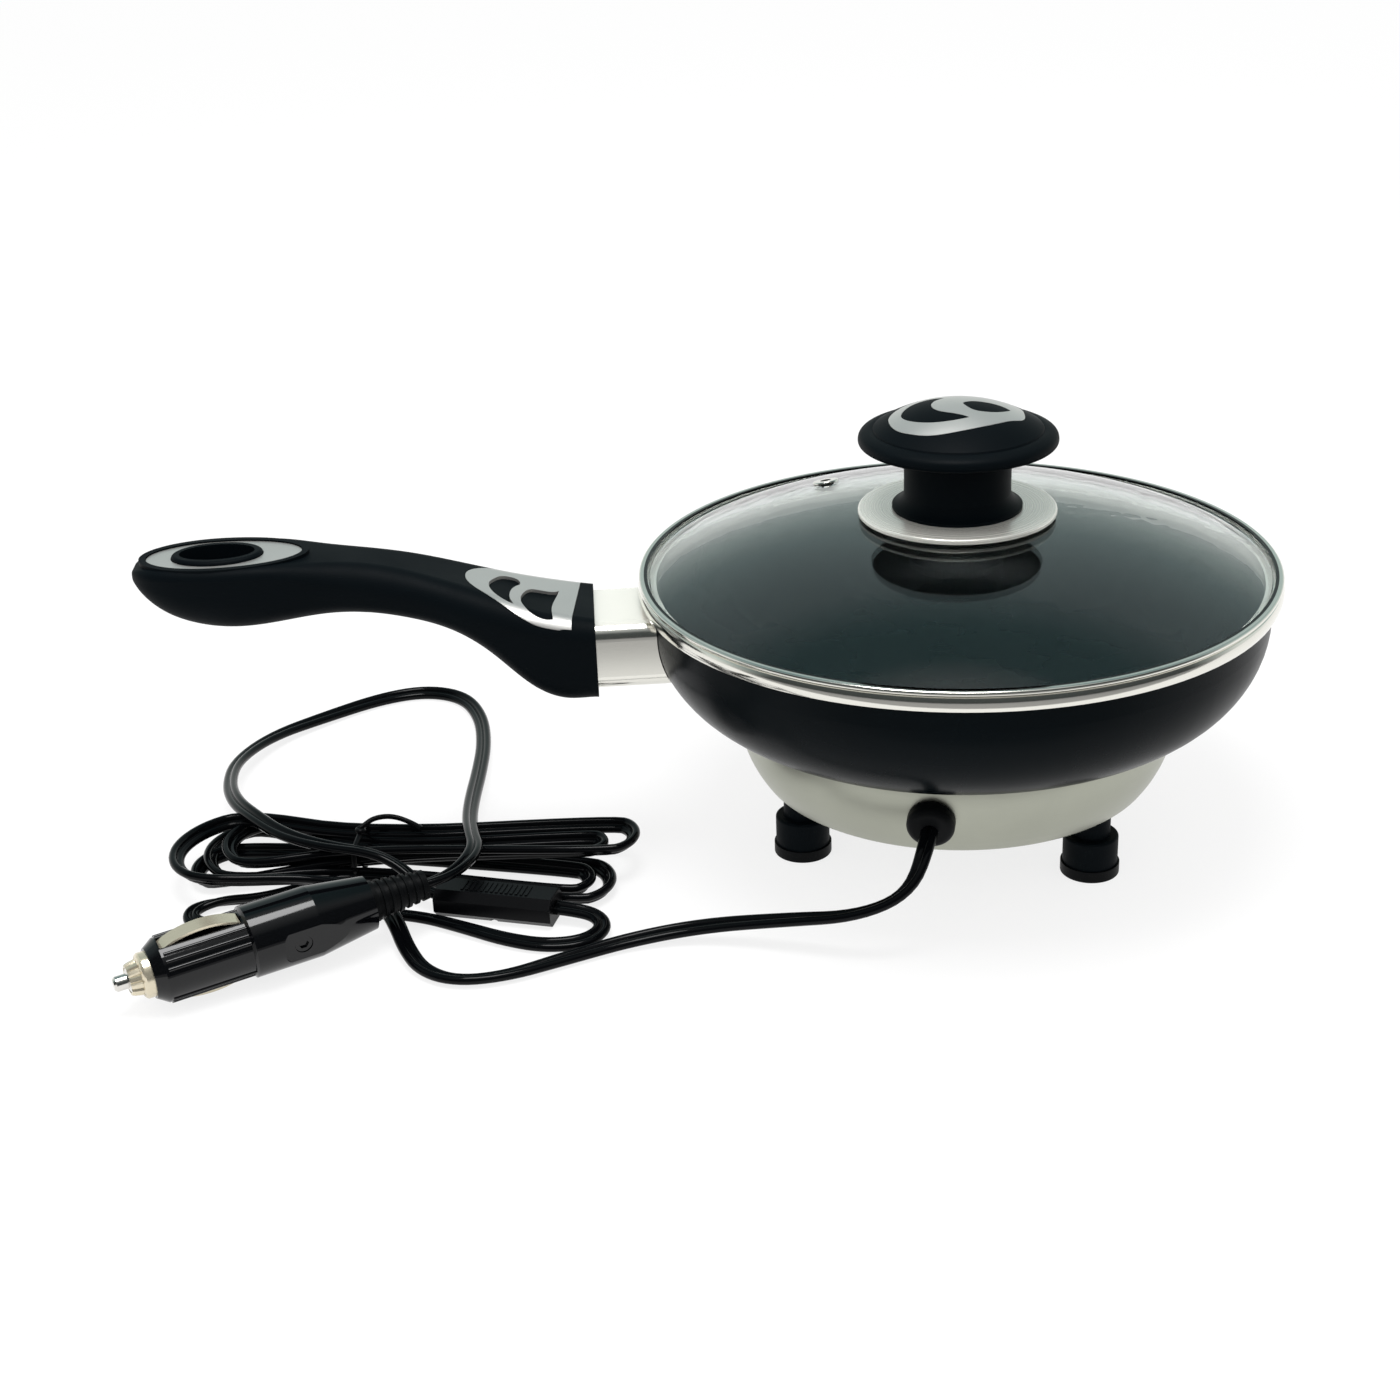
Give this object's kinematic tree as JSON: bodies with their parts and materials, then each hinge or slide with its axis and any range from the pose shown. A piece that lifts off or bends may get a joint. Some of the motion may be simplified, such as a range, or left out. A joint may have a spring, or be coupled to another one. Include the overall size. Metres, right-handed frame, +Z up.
{
  "type": "electric skillet",
  "caption": "Round pan fixed on a heated steel base with feet, a loose domed glass lid with a knob, a long shaped handle, and a tied-up lead ending in a vehicle socket plug.",
  "frame": {"origin": "on the pan's axis at table height, midway between the feet", "axes": "+Z up; the handle points along -X, so +X points from the handle to the pan's far side"},
  "size_m": [0.3582, 0.2269, 0.1434],
  "materials": {
    "pan_coat": "satin",
    "polished_steel": "polished",
    "satin_steel": "satin",
    "soft_black": "matte",
    "silver_trim": "satin",
    "lid_glass": "clear",
    "rubber_black": "matte",
    "lead_black": "gloss",
    "plug_black": "gloss",
    "pale_gold": "polished",
    "nickel": "polished",
    "hidden_steel": "plain",
    "heat_aluminium": "plain",
    "ceramic": "matte",
    "fuse_glass": "clear"
  },
  "bodies": {
    "skillet": {"pan_shell": "pan_coat", "flame_guard": "polished_steel", "base_cup": "satin_steel", "handle_grip": "soft_black", "foot_post_1": "soft_black", "foot_post_2": "soft_black", "foot_post_3": "soft_black", "handle_front_inlay": "silver_trim", "handle_rear_bezel": "silver_trim", "foot_pad_1": "rubber_black", "foot_pad_2": "rubber_black", "foot_pad_3": "rubber_black", "cord_grommet": "rubber_black", "plug_relief": "rubber_black", "cord_run": "lead_black", "cord_hank": "lead_black", "cord_link": "lead_black", "cord_loop": "lead_black", "inner_lead": "lead_black", "cord_tie": "lead_black", "plug_shell_front": "plug_black", "plug_shell_back": "plug_black", "case_upper": "plug_black", "case_lower": "plug_black", "plug_nut": "pale_gold", "case_clips": "pale_gold", "handle_tongue": "hidden_steel", "handle_screw": "hidden_steel", "base_stud": "hidden_steel", "base_nut": "hidden_steel", "heating_element": "hidden_steel", "element_clamp": "hidden_steel", "reflector": "hidden_steel", "thermal_cutout": "hidden_steel", "foot_screws": "hidden_steel", "case_screws": "hidden_steel", "plug_screw": "hidden_steel", "heat_plate": "heat_aluminium", "terminal_block": "ceramic", "case_fuse": "fuse_glass"},
    "lid": {"lid_rim": "polished_steel", "lid_glass": "lid_glass", "vent_eyelet": "polished_steel", "knob_disc": "polished_steel", "knob_stem": "soft_black", "knob_cap": "soft_black", "knob_inlay": "silver_trim", "knob_screw": "hidden_steel", "lid_washer": "rubber_black"},
    "plug_pin": {"plug_pin": "nickel", "plug_fuse": "fuse_glass", "plug_spring": "hidden_steel"},
    "contact_upper": {"plug_contact_upper": "pale_gold"},
    "contact_lower": {"plug_contact_lower": "pale_gold"}
  },
  "joints": [
    {"name": "lid_lift", "type": "slide", "parent": "skillet", "child": "lid", "axis": [0, 0, 1], "range_m": [0, 0.15]},
    {"name": "plug_pin_press", "type": "slide", "parent": "skillet", "child": "plug_pin", "axis": [0.9048, 0.4239, 0.0415], "range_m": [0, 0.003], "stiffness_N_per_m": 800, "springref_m": -0.002},
    {"name": "contact_upper_press", "type": "slide", "parent": "skillet", "child": "contact_upper", "axis": [-0.007, 0.1121, -0.9937], "range_m": [0, 0.0018], "stiffness_N_per_m": 1500, "springref_m": -0.0005},
    {"name": "contact_lower_press", "type": "slide", "parent": "skillet", "child": "contact_lower", "axis": [0.007, -0.1121, 0.9937], "range_m": [0, 0.0018], "stiffness_N_per_m": 1500, "springref_m": -0.0005}
  ]
}
